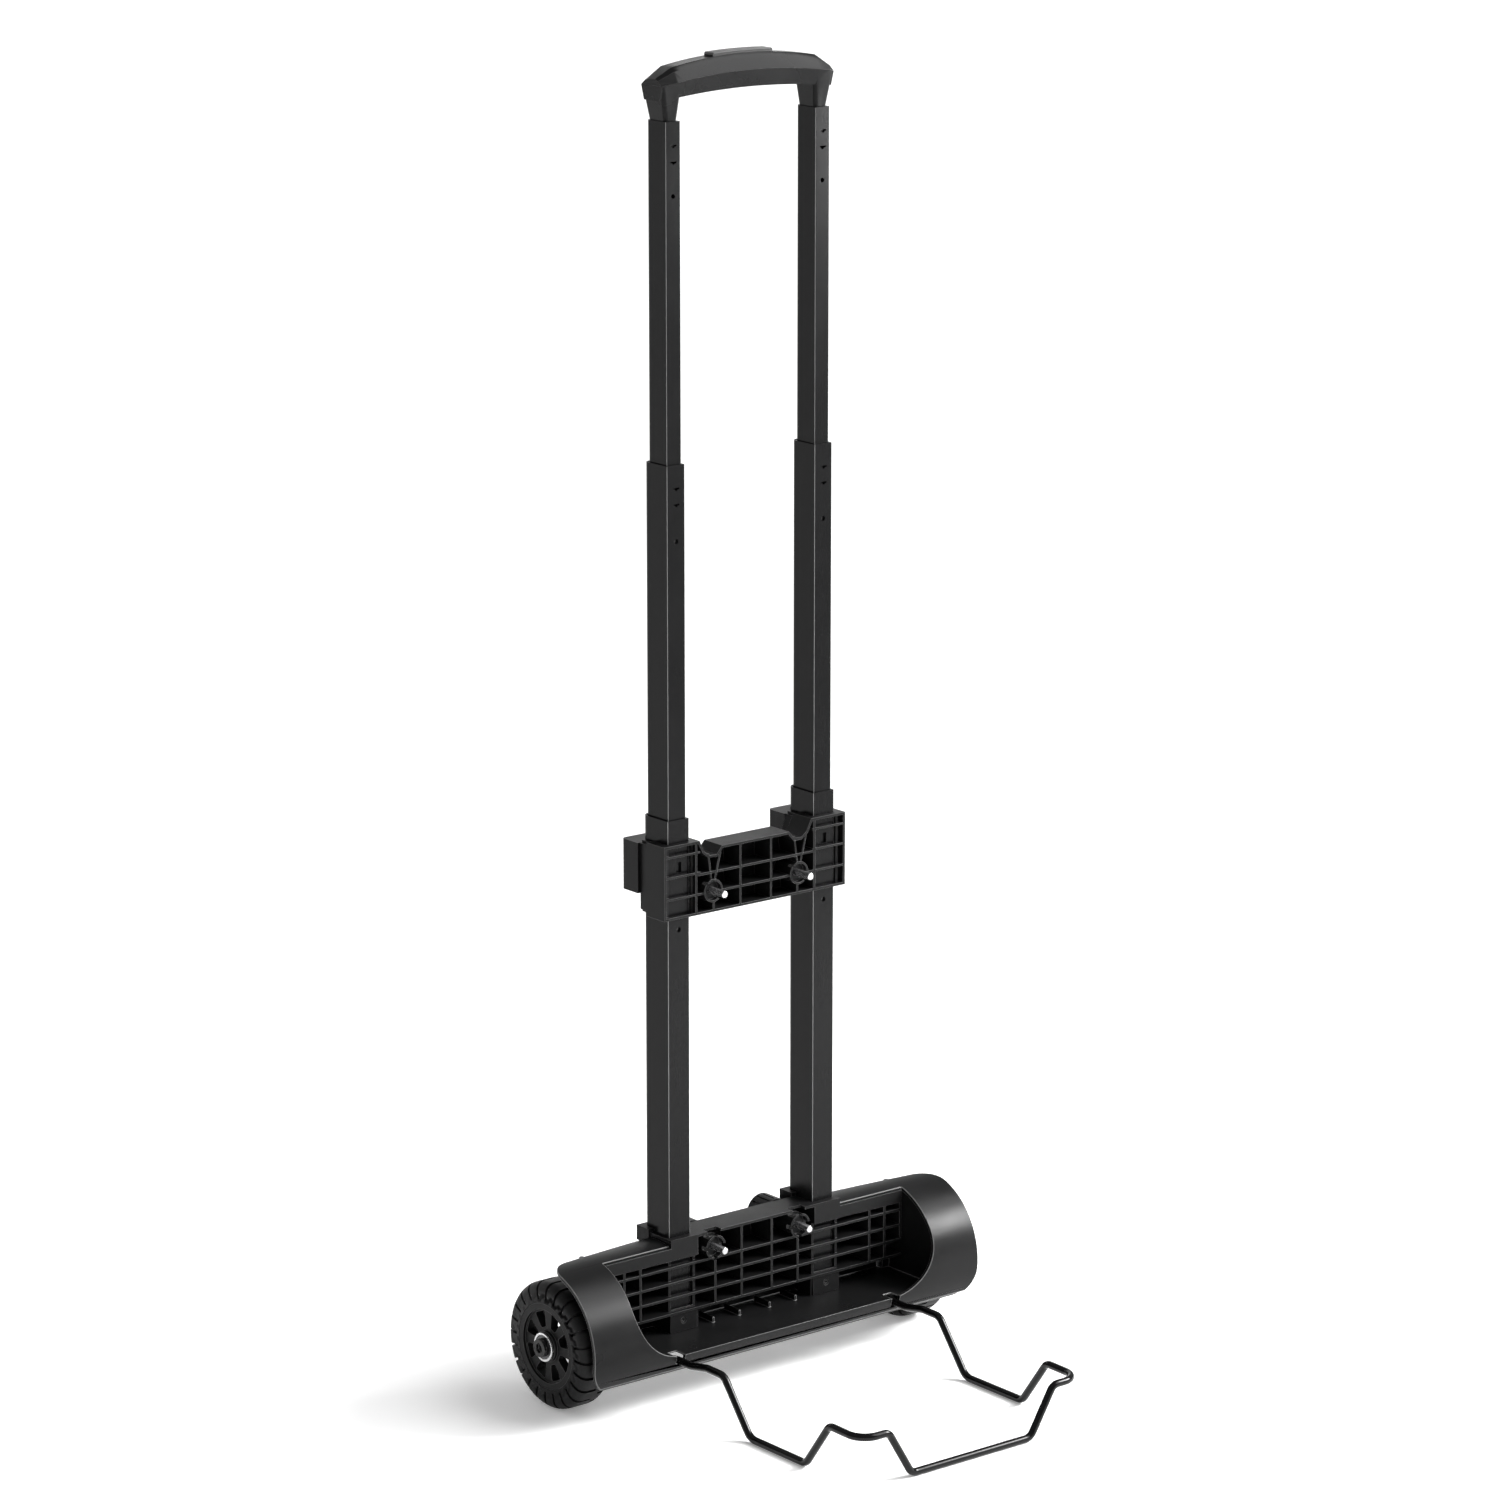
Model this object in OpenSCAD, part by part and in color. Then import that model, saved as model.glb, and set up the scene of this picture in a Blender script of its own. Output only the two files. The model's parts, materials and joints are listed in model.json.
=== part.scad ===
// Folding luggage cart: tubular wheel housing, ribbed frame, three-stage handle, wire platform.
// All sizes in millimetres. X right, Y back, Z up, floor at z = 0.

/* [Handle] */
// distance between the two tube centre lines
tube_gap = 142; // [120:1:180]
// height of the top of the lower tubes
low_top = 450.9; // [400:0.1:500]
// height of the top of the middle tubes when pulled out
mid_top = 722.9; // [650:0.1:760]
// height of the top of the upper tubes when pulled out
up_top = 978.6; // [900:0.1:1040]
// wall of every tube
wall = 1; // [0.8:0.1:1.5]
// travel of the release button
press = 3; // [2:0.5:3]

/* [Base] */
// half length of the housing
half_len = 190.5; // [170:0.5:220]
// outer radius of the housing
shell_r = 60; // [50:0.5:70]
// wall of the housing
shell_t = 3; // [2:0.5:4]
// wheel radius
wheel_r = 50; // [40:0.5:60]
// number of tread blocks
tread_n = 24; // [16:1:32]

/* [Platform] */
// wire diameter
wire_d = 6; // [5:0.5:6]
// reach of the front bar in front of the tubes
reach = 278; // [220:1:320]

/* [Hidden] */
$fn = 40;
TY = (reach + wire_d/2 - (wheel_r + 6)) / 2;   // puts the middle of the footprint on y = 0
tx = tube_gap/2;
ax_y = 6;          // wheel axis
sc_y = -5.5;       // housing centre
sc_z = 58;
pin_x = 42;
pin_zb = 107.5;
pin_zc = 392;
piv_y = -56;
piv_z = 40.5;
arm_x = 107;

function arc(cx, cy, r, a0, a1, n) = [for (i = [0:n]) [cx + r*cos(a0 + (a1 - a0)*i/n), cy + r*sin(a0 + (a1 - a0)*i/n)]];
// tube outline: square front corners, round back corners
function tube_pts(w, d, rf, rb) = concat(
  arc(w/2 - rf, -d/2 + rf, rf, -90, 0, 4), arc(w/2 - rb, d/2 - rb, rb, 0, 90, 8),
  arc(-w/2 + rb, d/2 - rb, rb, 90, 180, 8), arc(-w/2 + rf, -d/2 + rf, rf, 180, 270, 4));
function rrect(w, d, r) = concat(arc(w/2 - r, -d/2 + r, r, -90, 0, 5), arc(w/2 - r, d/2 - r, r, 0, 90, 5),
  arc(-w/2 + r, d/2 - r, r, 90, 180, 5), arc(-w/2 + r, -d/2 + r, r, 180, 270, 5));
module at() { translate([0, TY, 0]) children(); }
module box(x0, x1, y0, y1, z0, z1) { translate([x0, y0, z0]) cube([x1 - x0, y1 - y0, z1 - z0]); }
module ycyl(x, z, y0, y1, r) { translate([x, y0, z]) rotate([-90, 0, 0]) cylinder(h = y1 - y0, r = r); }
module xcyl(y, z, x0, x1, r) { translate([x0, y, z]) rotate([0, 90, 0]) cylinder(h = x1 - x0, r = r); }
// outline in X-Z, drawn through y0..y1
module yprism(y0, y1) { translate([0, y1, 0]) rotate([90, 0, 0]) linear_extrude(height = y1 - y0) children(); }
// outline in Y-Z, drawn through x0..x1
module xprism(x0, x1) { translate([x0, 0, 0]) rotate([90, 0, 90]) linear_extrude(height = x1 - x0) children(); }

module tube(x, w, d, z0, z1, rf, rb) {
  translate([x, 0, z0]) linear_extrude(height = z1 - z0) difference() {
    polygon(tube_pts(w, d, rf, rb));
    polygon(tube_pts(w - 2*wall, d - 2*wall, max(0.3, rf - wall), rb - wall));
  }
}
module ring(x, w, d, wi, di, z0, z1, rb) {
  translate([x, 0, z0]) linear_extrude(height = z1 - z0) difference() {
    polygon(tube_pts(w, d, 0.4, rb));
    polygon(tube_pts(wi, di, 0.4, rb - (w - wi)/2));
  }
}
module marks(x, d, top) {
  for (dz = [18.4, 30.7]) { box(x - 2.4, x + 3.2, -d/2 - 1, -d/2 + 1.2, top - dz, top - dz + 1.3); box(x - 0.6, x + 1.4, -d/2 - 1, -d/2 + 1.2, top - dz - 1, top - dz + 0.4); }
}

/* ---------- base ---------- */
module shell_outline(r, b) {
  polygon(concat(arc(sc_y, sc_z, r, b > 0 ? 60 : 79.9, 204, 44),
    arc(sc_y - shell_r*cos(24) + 11, 28 + 8, 8 - b, 215, 270, 6), [[20, 28 + b], [20, 105]]));
}
module cut_outline() {
  polygon(concat([[148.5, 140], [-148.5, 140]], arc(-103.5, 90, 45, 180, 270, 18), arc(103.5, 90, 45, 270, 360, 18)));
}
module end_outline() {
  polygon(concat(arc(half_len - 24, 28 + 24, 24, -90, 0, 12), arc(half_len - 3, 118.5 - 3, 3, 0, 90, 6),
    arc(-half_len + 3, 118.5 - 3, 3, 90, 180, 6), arc(-half_len + 24, 28 + 24, 24, 180, 270, 12)));
}
// plan of the housing: the back edge runs in over the wheels
module plan_outline() {
  polygon(concat([[-half_len, -80], [half_len, -80]], arc(half_len - 21, -25, 21, 0, 85, 12), [[84, 4.9], [-84, 4.9]],
    arc(-half_len + 21, -25, 21, 95, 180, 12)));
}
module housing_shell() { color([0.09, 0.09, 0.1]) at() difference() {
  union() {
    intersection() {
      difference() {
        xprism(-half_len, half_len) shell_outline(shell_r, 0);
        xprism(-half_len - 1, half_len + 1) shell_outline(shell_r - shell_t, 3);
        box(-half_len - 1, half_len + 1, -54, 30, 10, 60);
      }
      yprism(-80, 20) end_outline();
      translate([0, 0, 20]) linear_extrude(height = 110) plan_outline();
    }
    difference() {
      intersection() {
        union() {
          // end walls, axle bosses and the floor tray
          for (s = [-1, 1]) {
            xprism(s*151.5 - 1.5, s*151.5 + 1.5) polygon(concat(arc(sc_y, sc_z, shell_r - 1, 80.5, 200, 40), [[-40, 32], [4.9, 32]]));
            xcyl(ax_y, 50, s > 0 ? 143 : -150.5, s > 0 ? 150.5 : -143, 10);
          }
          box(-151, 151, -64, 4.9, 43.7, 45);
          box(-151, 151, 3, 4.9, 32, 45);
          for (x = [-60, -20, 20, 60]) box(x - 1, x + 1, -56, 4, 34, 44);
        }
        union() { xprism(-153, 153) polygon(arc(sc_y, sc_z, shell_r - 1, 0, 359, 90)); for (s = [-1, 1]) xcyl(ax_y, 50, s > 0 ? 143 : -153, s > 0 ? 153 : -143, 10); }
      }
    }
    for (x = [-41, -15, 15, 41]) { box(x - 1.1, x + 1.1, -21, -1, 44.5, 48.4); ycyl(x, 48.2, -21.5, -1, 1.3); }
  }
  yprism(-80, -20) difference() { cut_outline(); translate([-200, 0]) square([400, 45]); }
  box(-84.4, 84.4, -30, 10, 100, 130);
  for (s = [-1, 1]) {
    box(s*arm_x - 3.9, s*arm_x + 3.9, -80, -52.2, 36.6, 47.5);
    xcyl(ax_y, 50, s > 0 ? 144.5 : -155, s > 0 ? 155 : -144.5, 4.02);
    ycyl(s*tx, 54, -40, -25, 1);
  }
} }
module rib_outline() {
  polygon([[-147, 60.4], [147, 60.4], [147, 111.6], [84.2, 111.6], [84.2, 121], [-84.2, 121], [-84.2, 111.6], [-147, 111.6]]);
}
module boss(x, z, y0, y1, r) { translate([x, y1, z]) rotate([90, 22.5, 0]) cylinder(h = y1 - y0, r = r, $fn = 16); }
module rib_panel() { color([0.1, 0.1, 0.11]) at() difference() {
  union() {
    yprism(2.6, 4.9) rib_outline();
    difference() { box(-142, 142, 2.4, 2.9, 45.3, 62); }
    // ribs
    for (z = [61.3, 74, 86, 98.6]) box(-147, 147, -22.4, 3, z - 1, z + 1);
    box(-147, -84, -22.4, 3, 104.5, 106.5); box(84, 147, -22.4, 3, 104.5, 106.5);
    for (x = [-129.5, -114, 114, 129.5]) box(x - 1, x + 1, -22.4, 3, 60.3, 106);
    for (s = [-1, 1]) box(s*146 - 1, s*146 + 1, -22.4, 3, 76, 106);
    for (x = [-15, 15]) box(x - 1, x + 1, -22.4, 3, 60.3, 119);
    for (x = [-41, 41]) box(x - 1, x + 1, -22.4, 3, 60.3, 101);
    // top bands
    for (s = [-1, 1]) {
      box(s > 0 ? 83 : -147, s > 0 ? 147 : -83, -22.4, -20.3, 104.6, 114.5);
      box(s > 0 ? 83 : -147, s > 0 ? 147 : -83, -6, 4.9, 109.6, 111.6);
    }
    box(-84.2, 84.2, -22.4, 4.9, 118.8, 121);
    // sleeves
    for (s = [-1, 1]) {
      box(s*tx - 13, s*tx + 13, -18.4, 19, 45.3, 119.5);
      box(s*tx - 13, s*tx + 13, -21, -18, 45.3, 62.3);
      box(s*tx - 13, s*tx + 13, -22.4, -18, 104.6, 121);
      box(s*tx - 13, s*tx + 13, -22.4, -18, 60.3, 62.3);
      box(s*tx - 15, s*tx + 13.4, 4, 19, 112, 124);
      box(s*57 - 1, s*57 + 1, -20, -5, 45.3, 61);
      boss(s*pin_x, pin_zb, -24.4, 3, 9.6);
    }
  }
  for (s = [-1, 1]) {
    translate([s*tx, 0, 20]) linear_extrude(height = 120) polygon(tube_pts(20.5, 32.1, 0.7, 6));
    ycyl(s*pin_x, pin_zb, -40, 30, 2.83);
    boss(s*pin_x, pin_zb, -27, -18.5, 8);
    for (k = [0, 90, 180, 270]) translate([s*pin_x, 0, pin_zb]) rotate([0, k, 0]) box(5, 11, -27, -19, -1.6, 1.6);
    box(s*pin_x - 6.5, s*pin_x + 6.5, -23, -16, 115, 122);
    box(s*tx - 10.7, s*tx + 10.7, -19, -15, 63.3, 103.5);
    ycyl(s*tx, 54, -22, -18.6, 2.75);
    ycyl(s*tx, 54, -22, -10, 1.55);
  }
} }
module stub_axle(s) { color([0.7, 0.7, 0.72]) at() xcyl(ax_y, 50, s > 0 ? 144.6 : -184.6, s > 0 ? 184.6 : -144.6, 4); }
module stub_axle_left() { stub_axle(-1); }
module stub_axle_right() { stub_axle(1); }
module axle_bolt(s) { color([0.05, 0.05, 0.05]) at() difference() {
  xcyl(ax_y, 50, s > 0 ? 185.8 : -190.5, s > 0 ? 190.5 : -185.8, 7.2);
  translate([s > 0 ? 187.6 : -191.5, ax_y, 50]) rotate([0, 90, 0]) linear_extrude(height = 3.9) circle(r = 4.2, $fn = 6);
} }
module axle_bolt_left() { axle_bolt(-1); }
module axle_bolt_right() { axle_bolt(1); }
module washer(s) { color([0.8, 0.8, 0.82]) at() difference() {
  xcyl(ax_y, 50, s > 0 ? 184.7 : -186.6, s > 0 ? 186.6 : -184.7, 11.3);
  xcyl(ax_y, 50, s > 0 ? 185.7 : -188, s > 0 ? 188 : -185.7, 9.6);
} }
module washer_left() { washer(-1); }
module washer_right() { washer(1); }
module lower_tube(s) { color([0.13, 0.13, 0.14]) at() difference() {
  tube(s*tx, 20.4, 32, 45.4, low_top, 0.7, 6);
  ycyl(s*tx, 365, -20, -12, 2);
  box(s*tx - 2.5, s*tx + 2.5, -20, -12, 410, 418);
} }
module lower_tube_left() { lower_tube(-1); }
module lower_tube_right() { lower_tube(1); }
module lower_guide_left() { color([0.05, 0.05, 0.05]) at() ring(-tx, 18.36, 29.96, 17.4, 29, low_top - 27, low_top - 0.6, 5); }
module lower_guide_right() { color([0.05, 0.05, 0.05]) at() ring(tx, 18.36, 29.96, 17.4, 29, low_top - 27, low_top - 0.6, 5); }
module cross_outline() {
  polygon([[-88.5, 375], [88.5, 375], [88.5, 433], [54.5, 433], [50, 424], [45, 420], [38, 420], [33, 426],
    [-33, 426], [-38, 420], [-45, 420], [-50, 424], [-54.5, 433], [-88.5, 433]]);
}
module crossbar() { color([0.1, 0.1, 0.11]) at() difference() {
  union() {
    yprism(-1.5, 1) cross_outline();
    difference() {
      yprism(-21, 0) cross_outline();
      yprism(-22, -1) polygon([[-86.5, 377], [86.5, 377], [86.5, 431], [56, 431], [51.4, 422.4], [45.4, 418], [37.2, 418], [32, 424],
        [-32, 424], [-37.2, 418], [-45.4, 418], [-51.4, 422.4], [-56, 431], [-86.5, 431]]);
    }
    // ribs
    for (z = [391, 406.5]) box(-57, 57, -21, 0, z - 0.9, z + 0.9);
    for (x = [-15, 15]) box(x - 0.9, x + 0.9, -21, 0, 376, 425);
    for (x = [-41, 41]) box(x - 0.9, x + 0.9, -21, 0, 376, 388);
    for (s = [-1, 1]) {
      box(s*57.8 - 1, s*57.8 + 1, -21, 0, 376, 432);
      for (z = [391, 408, 424]) box(s*tx - 15, s*tx + 17, -21, 0, z - 0.8, z + 0.8);
      box(s*tx - 13.3, s*tx + 13.3, -17.6, 12, 376, 432);
      translate([s*pin_x, 0, pin_zc]) for (k = [-8, 14]) rotate([0, k, 0]) box(-0.8, 0.8, -21, 0, 2, 30);
      boss(s*pin_x, pin_zc, -22, 0, 9);
    }
    // recessed back
    yprism(0.9, 12) polygon([[-86, 378], [86, 378], [86, 430], [56, 430], [52, 418], [-52, 418], [-56, 430], [-86, 430]]);
  }
  for (s = [-1, 1]) {
    translate([s*tx, 0, 370]) linear_extrude(height = 70) polygon(tube_pts(20.5, 32.1, 0.7, 6));
    ycyl(s*pin_x, pin_zc, -40, 30, 2.83);
    boss(s*pin_x, pin_zc, -25, -17.5, 7.5);
    for (k = [45, 225]) translate([s*pin_x, 0, pin_zc]) rotate([0, k, 0]) box(5, 11, -25, -17, -1.2, 1.2);
    box(s*tx - 2.5, s*tx + 2.5, -30, -12, 410, 418);
    box(s*tx - 10.8, s*tx + 10.8, -19, -15, 376.6, 431);
    box(s*26 - 9, s*26 + 9, 2.5, 13, 382, 414);
    box(-8, 8, 2.5, 13, 382, 414);
  }
} }
module rear_foot(s) { color([0.08, 0.08, 0.09]) at() difference() {
  translate([s*71.6, 0, 390.5]) linear_extrude(height = 39.5)
    polygon(concat([[-16.6, 12.3], [16.6, 12.3]], arc(16.6 - 4, 33 - 4, 4, 0, 90, 6), arc(-16.6 + 4, 33 - 4, 4, 90, 180, 6)));
  translate([s*tx, 0, 380]) linear_extrude(height = 60) polygon(tube_pts(20.5, 32.1, 0.7, 6));
} }
module rear_foot_left() { rear_foot(-1); }
module rear_foot_right() { rear_foot(1); }
module steel_pin(s, z, y1) { color([0.8, 0.8, 0.82]) at() ycyl(s*pin_x, z, -36, y1, 2.8); }
module base_pin_left() { steel_pin(-1, pin_zb, 27); }
module base_pin_right() { steel_pin(1, pin_zb, 27); }
module cross_pin_left() { steel_pin(-1, pin_zc, 35); }
module cross_pin_right() { steel_pin(1, pin_zc, 35); }
module pin_cap(s, z, y) { color([0.6, 0.6, 0.62]) at() difference() {
  ycyl(s*pin_x, z, y, y + 3.4, 5);
  ycyl(s*pin_x, z, y - 1, y + 2.2, 2.82);
} }
module pin_cap_base_left() { pin_cap(-1, pin_zb, 25.4); }
module pin_cap_base_right() { pin_cap(1, pin_zb, 25.4); }
module pin_cap_cross_left() { pin_cap(-1, pin_zc, 33.4); }
module pin_cap_cross_right() { pin_cap(1, pin_zc, 33.4); }
module knob(s, z, y, r = 14) { color([0.07, 0.07, 0.08]) at() difference() {
  ycyl(s*pin_x, z, y, y + 19.7, r);
  ycyl(s*pin_x, z, y - 1, y + 22, 2.85);
  for (k = [0:22.5:337.5]) translate([s*pin_x, 0, z]) rotate([0, k, 0]) box(r - 1.2, r + 1, y + 2.5, y + 17.2, -0.8, 0.8);
  difference() { ycyl(s*pin_x, z, y + 16.7, y + 20, r - 3.5); ycyl(s*pin_x, z, y + 16, y + 21, 6.2); }
} }
module cord_knob_base_left() { knob(-1, pin_zb, 5.4); }
module cord_knob_base_right() { knob(1, pin_zb, 5.4); }
module cord_knob_cross_left() { knob(-1, pin_zc, 13.4, 12.4); }
module cord_knob_cross_right() { knob(1, pin_zc, 13.4, 12.4); }
module sleeve_screw(s) { color([0.3, 0.3, 0.32]) at() difference() {
  union() { ycyl(s*tx, 54, -20.6, -18.7, 2.6); ycyl(s*tx, 54, -19, -16.3, 1.5); }
  ycyl(s*tx, 54, -21, -19.7, 1.1);
} }
module sleeve_screw_left() { sleeve_screw(-1); }
module sleeve_screw_right() { sleeve_screw(1); }
module pivot_clip(s) { color([0.06, 0.06, 0.06]) at() difference() {
  intersection() {
    box(s*119 - 5, s*119 + 5, -61, -51.5, 35.3, 43.2);
    xprism(s*119 - 6, s*119 + 6) polygon(arc(sc_y, sc_z, shell_r - shell_t - 0.2, 0, 359, 90));
  }
  xcyl(piv_y, piv_z, s*119 - 8, s*119 + 8, wire_d/2 + 0.06);
} }
module pivot_clip_left() { pivot_clip(-1); }
module pivot_clip_right() { pivot_clip(1); }

/* ---------- wheels ---------- */
module wheel_rim(s) { color([0.09, 0.09, 0.1]) at() difference() {
  union() {
    difference() {
      xcyl(ax_y, 50, s > 0 ? 157 : -183.9, s > 0 ? 183.9 : -157, 33.9);
      xcyl(ax_y, 50, s > 0 ? 181.4 : -190, s > 0 ? 190 : -181.4, 29);
    }
    xcyl(ax_y, 50, s > 0 ? 154.5 : -184.2, s > 0 ? 184.2 : -154.5, 12.2);
  }
  xcyl(ax_y, 50, s > 0 ? 150 : -190, s > 0 ? 190 : -150, 4.05);
  for (k = [0:45:315]) translate([0, ax_y, 50]) rotate([k + 22.5, 0, 0])
    xprism(s > 0 ? 150 : -190, s > 0 ? 190 : -150) polygon(concat(arc(25.4, 4.17, 1.8, 0, 107, 8), arc(16.2, 1.78, 1.4, 107, 180, 5),
      arc(16.2, -1.78, 1.4, 180, 253, 5), arc(25.4, -4.17, 1.8, 253, 360, 8)));
  difference() {
    xcyl(ax_y, 50, s > 0 ? 150 : -174, s > 0 ? 174 : -150, 30);
    xcyl(ax_y, 50, s > 0 ? 149 : -175, s > 0 ? 175 : -149, 12.2);
  }
} }
module wheel_rim_left() { wheel_rim(-1); }
module wheel_rim_right() { wheel_rim(1); }
module tyre(s) { color([0.05, 0.05, 0.05]) at() translate([s*169.25, ax_y, 50]) difference() {
  rotate([0, 90, 0]) rotate_extrude($fn = 96) polygon(concat([[34, -14.75], [34, 14.75]],
    arc(wheel_r - 7, 14.75 - 7, 7, 90, 0, 8), arc(wheel_r - 7, -14.75 + 7, 7, 0, -90, 8)));
  for (k = [0:tread_n - 1]) rotate([k*360/tread_n, 0, 0]) {
    translate([s > 0 ? 9 : -16, -1.1, 37 + (k % 2)*3]) cube([7, 2.2, 20]);
    translate([s > 0 ? -16 : 9, -1.1, 40]) cube([7, 2.2, 20]);
  }
} }
module tyre_left() { tyre(-1); }
module tyre_right() { tyre(1); }

/* ---------- platform wire ---------- */
function unit(v) = v/norm(v);
function bend(a, b, c, r) = let(u = unit(a - b), w = unit(c - b), g = acos(max(-1, min(1, u*w))), d = r/tan(g/2),
  p = b + u*d, q = b + w*d, cc = b + unit(u + w)*(r/sin(g/2)), e1 = unit(p - cc), e2 = unit(q - cc),
  f = unit(e2 - (e2*e1)*e1), n = max(2, ceil((180 - g)/14)))
  [for (i = [0:n]) cc + r*(e1*cos((180 - g)*i/n) + f*sin((180 - g)*i/n))];
half_wire = [[-130, piv_y, piv_z, 0], [-arm_x, piv_y, piv_z, 5], [-arm_x, -76, 40.2, 12], [-arm_x, -96, 43.8, 12],
  [-arm_x, -116, 43.6, 9], [-arm_x, -148, wire_d/2, 12], [-arm_x, -214, wire_d/2, 9], [-arm_x, -241.5, 40.5, 8],
  [-arm_x, -reach, 40, 15], [-81, -reach, 40, 8], [-58.5, -reach, wire_d/2, 9]];
wire_pts = concat(half_wire, [for (i = [len(half_wire) - 1:-1:0]) [-half_wire[i][0], half_wire[i][1], half_wire[i][2], half_wire[i][3]]]);
function v3(p) = [p[0], p[1], p[2]];
wire_path = [for (i = [0:len(wire_pts) - 1])
  each (wire_pts[i][3] == 0 ? [v3(wire_pts[i])] : bend(v3(wire_pts[i - 1]), v3(wire_pts[i]), v3(wire_pts[i + 1]), wire_pts[i][3]))];
function tangents(p) = [for (i = [0:len(p) - 1]) i == 0 ? unit(p[1] - p[0]) : i == len(p) - 1 ? unit(p[i] - p[i - 1])
  : unit(unit(p[i] - p[i - 1]) + unit(p[i + 1] - p[i]))];
function carry(t, u, i = 0, acc = []) = i == len(t) ? acc
  : let(v = unit(u - (u*t[i])*t[i])) carry(t, v, i + 1, concat(acc, [v]));
module sweep(p, r, m, up) {
  t = tangents(p); u = carry(t, up); n = len(p);
  polyhedron(points = [for (i = [0:n - 1]) for (k = [0:m - 1]) p[i] + r*(u[i]*cos(360*k/m) + cross(t[i], u[i])*sin(360*k/m))],
    faces = concat([[for (k = [0:m - 1]) m - 1 - k]], [[for (k = [0:m - 1]) (n - 1)*m + k]],
      [for (i = [0:n - 2]) for (k = [0:m - 1]) [i*m + k, i*m + (k + 1)%m, (i + 1)*m + (k + 1)%m]],
      [for (i = [0:n - 2]) for (k = [0:m - 1]) [i*m + k, (i + 1)*m + (k + 1)%m, (i + 1)*m + k]]), convexity = 8);
}
module platform_wire() { color([0.03, 0.03, 0.03]) at() sweep(wire_path, wire_d/2, 12, [0, 0, 1]); }

/* ---------- middle stage ---------- */
module middle_tube(s) { color([0.13, 0.13, 0.14]) at() difference() {
  tube(s*tx, 16.8, 28.4, 376, mid_top, 0.6, 5);
  marks(s*tx, 28.4, mid_top);
  ycyl(s*tx, 665, -20, -10, 2);
} }
module middle_tube_left() { middle_tube(-1); }
module middle_tube_right() { middle_tube(1); }
module middle_guide(s) { color([0.05, 0.05, 0.05]) at() difference() {
  ring(s*tx, 14.76, 26.36, 14.1, 24.6, mid_top - 14, mid_top - 0.6, 4.2);
} }
module middle_guide_left() { middle_guide(-1); }
module middle_guide_right() { middle_guide(1); }
module slider(s, w, d, wi, di, z, rb, ri) {
  difference() {
    union() {
      translate([s*tx, 0, z]) linear_extrude(height = 23.9) polygon(tube_pts(w, d, 0.5, rb));
      translate([s*tx, 0, z + 20]) linear_extrude(height = 19) polygon(tube_pts(wi, di, 0.4, ri));
    }
    ycyl(s*tx, z + 13, -20, 3, 1.85);
    translate([s*tx, 0, z + 18]) cylinder(h = 30, r = 3.2);
  }
}
module middle_slider_left() { color([0.06, 0.06, 0.06]) at() slider(-1, 17.7, 29.3, 14.7, 26.3, 352, 4.6, 4.2); }
module middle_slider_right() { color([0.06, 0.06, 0.06]) at() slider(1, 17.7, 29.3, 14.7, 26.3, 352, 4.6, 4.2); }
module lock_pin(s, z, y0) { color([0.75, 0.75, 0.77]) at() ycyl(s*tx, z, y0, -1.5, 1.8); }
module middle_lock_left() { lock_pin(-1, 365, -14.3); }
module middle_lock_right() { lock_pin(1, 365, -14.3); }

/* ---------- handle ---------- */
module upper_tube(s) { color([0.13, 0.13, 0.14]) at() difference() {
  tube(s*tx, 13.5, 24, 676, up_top, 0.5, 4.4);
  marks(s*tx, 24, up_top);
  ycyl(s*tx, up_top - 55.1, -20, -8, 1.7);
} }
module upper_tube_left() { upper_tube(-1); }
module upper_tube_right() { upper_tube(1); }
module upper_slider_left() { color([0.06, 0.06, 0.06]) at() slider(-1, 14.2, 25.8, 11.4, 21.9, 652, 3.8, 3.6); }
module upper_slider_right() { color([0.06, 0.06, 0.06]) at() slider(1, 14.2, 25.8, 11.4, 21.9, 652, 3.8, 3.6); }
module upper_lock_left() { lock_pin(-1, 665, -12.6); }
module upper_lock_right() { lock_pin(1, 665, -12.6); }
// height of the grip along its arch: underside, crease, top
function g_low(x) = 999 - 3.4*pow(x/66, 2);
function g_mid(x) = 1011.6 - 6.8*pow(x/81.5, 2);
function g_top(x) = abs(x) <= 68 ? 1023.6 - 6*pow(x/68, 2) : 1017.6 - 7.8*(abs(x) - 68)/13.5;
function g_half(x) = abs(x) <= 68 ? 14.5 : 14.5 - 2.2*(abs(x) - 68)/13.5;
gx = concat([-81.5], [for (i = [-10:10]) 6.8*i], [81.5]);
function g_ring(x) = let(h = g_half(x), t = g_top(x), m = min(g_mid(x), t - 1.2), b = min(g_low(x), m - 3))
  [[x, -h + 3.2, b], [x, h - 3.2, b], [x, h, m], [x, h - 4.6, m + 0.72*(t - m)], [x, h - 8.4, t], [x, -h + 8.4, t], [x, -h + 4.6, m + 0.72*(t - m)], [x, -h, m]];
module beam() {
  m = 8; n = len(gx);
  polyhedron(points = [for (x = gx) each g_ring(x)],
    faces = concat([[for (k = [0:m - 1]) k]], [[for (k = [0:m - 1]) (n - 1)*m + m - 1 - k]],
      [for (i = [0:n - 2]) for (k = [0:m - 1]) [i*m + k, (i + 1)*m + (k + 1)%m, i*m + (k + 1)%m]],
      [for (i = [0:n - 2]) for (k = [0:m - 1]) [i*m + k, (i + 1)*m + k, (i + 1)*m + (k + 1)%m]]), convexity = 4);
}
module above_seam() { yprism(-16, 16) polygon(concat([[-90, 1040]], [for (i = [-12:12]) [90*i/12, g_mid(90*i/12) + 0.1]], [[90, 1040]])); }
module leg(s) {
  hull() {
    translate([s*tx, 0, 979]) linear_extrude(height = 0.2) polygon(rrect(11.6, 20.4, 3));
    translate([s*71.9, 0, 1004.3]) linear_extrude(height = 0.2) polygon(rrect(18.9, 25.6, 3));
  }
}
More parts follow.
